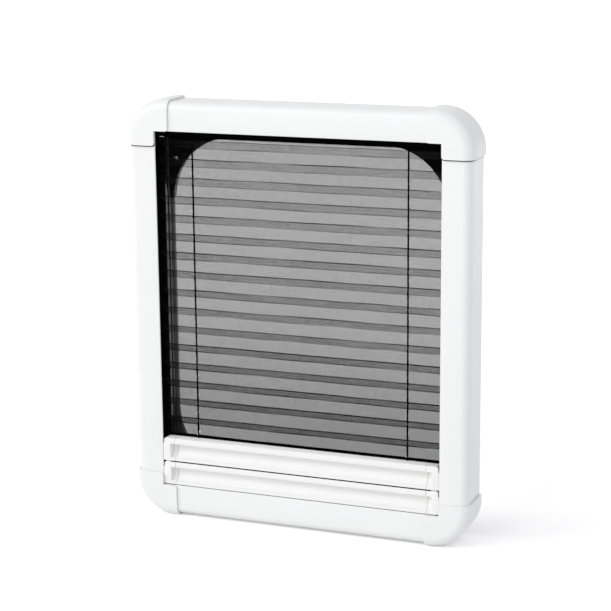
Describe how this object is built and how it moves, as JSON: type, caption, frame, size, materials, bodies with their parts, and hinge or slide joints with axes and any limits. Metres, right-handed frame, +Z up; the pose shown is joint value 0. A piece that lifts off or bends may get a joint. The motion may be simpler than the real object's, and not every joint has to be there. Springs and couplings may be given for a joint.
{
  "type": "blackout blind",
  "caption": "Cassette window blind: a white frame with a pleated insect screen fixed at the top and a pleated blackout cloth fixed at the bottom, moved by two clipped grip bars.",
  "frame": {"origin": "middle of the footprint, on the surface under the two bottom corner caps", "axes": "+X to the right seen from the front, +Y from the front to the wall side, +Z up"},
  "size_m": [0.5066, 0.0632, 0.6096],
  "materials": {
    "white_profile": "smooth satin white extrusion",
    "white_bar": "smooth satin white extrusion",
    "white_moulding": "smooth white moulding",
    "black_moulding": "smooth black extrusion and moulding",
    "pale_moulding": "pale grey moulding",
    "screen_mesh": "open dark grey mesh, pleated",
    "blackout_cloth": "opaque coated cloth, pleated",
    "cord_braid": "black braid",
    "spring_steel": "drawn wire",
    "screw_steel": "bright plated",
    "brass": "plain"
  },
  "bodies": {
    "frame": {"blackout_fabric": "blackout_cloth", "blackout_sill_clamp": "black_moulding", "bottom_profile": "white_profile", "cord_end_left": "brass", "cord_end_right": "brass", "cord_ferrule_left": "brass", "cord_ferrule_right": "brass", "corner_bracket_bottom_left": "pale_moulding", "corner_bracket_bottom_right": "pale_moulding", "corner_bracket_top_left": "pale_moulding", "corner_bracket_top_right": "pale_moulding", "corner_cap_bottom_left": "white_moulding", "corner_cap_bottom_right": "white_moulding", "corner_cap_top_left": "white_moulding", "corner_cap_top_right": "white_moulding", "corner_infill_bottom_left": "black_moulding", "corner_infill_bottom_right": "black_moulding", "corner_infill_top_left": "black_moulding", "corner_infill_top_right": "black_moulding", "fixing_screw_bottom_left": "screw_steel", "fixing_screw_bottom_right": "screw_steel", "fixing_screw_top_left": "screw_steel", "fixing_screw_top_right": "screw_steel", "guide_track_left": "black_moulding", "guide_track_right": "black_moulding", "head_clip": "pale_moulding", "header_channel": "black_moulding", "insect_screen": "screen_mesh", "screen_head_clamp": "black_moulding", "side_profile_left": "white_profile", "side_profile_right": "white_profile", "sill_tray": "black_moulding", "tension_cord_left": "cord_braid", "tension_cord_right": "cord_braid", "tension_spring_left": "spring_steel", "tension_spring_right": "spring_steel", "top_profile": "white_profile"},
    "screen_bar": {"screen_bar": "white_bar", "screen_bar_clamp": "black_moulding", "screen_bar_end_left": "white_moulding", "screen_bar_end_right": "white_moulding", "screen_bar_shoe_left": "black_moulding", "screen_bar_shoe_right": "black_moulding", "screen_bar_cord_bush_left": "pale_moulding", "screen_bar_cord_bush_right": "pale_moulding"},
    "blackout_bar": {"blackout_bar": "white_bar", "blackout_bar_clamp": "black_moulding", "blackout_bar_end_left": "white_moulding", "blackout_bar_end_right": "white_moulding", "blackout_bar_shoe_left": "black_moulding", "blackout_bar_shoe_right": "black_moulding", "blackout_bar_cord_bush_left": "pale_moulding", "blackout_bar_cord_bush_right": "pale_moulding", "bar_clip_left": "pale_moulding", "bar_clip_right": "pale_moulding"}
  },
  "joints": [
    {"name": "blackout_bar_slide", "type": "slide", "parent": "frame", "child": "blackout_bar", "axis": [0, 0, 1], "range_m": [0, 0.41], "deforming": ["blackout_fabric"]},
    {"name": "screen_bar_slide", "type": "slide", "parent": "frame", "child": "screen_bar", "axis": [0, 0, 1], "range_m": [0, 0.41], "deforming": ["insect_screen"]}
  ],
  "couplings": [
    {"joint": "screen_bar_slide", "follows": "blackout_bar_slide", "ratio": 1}
  ]
}
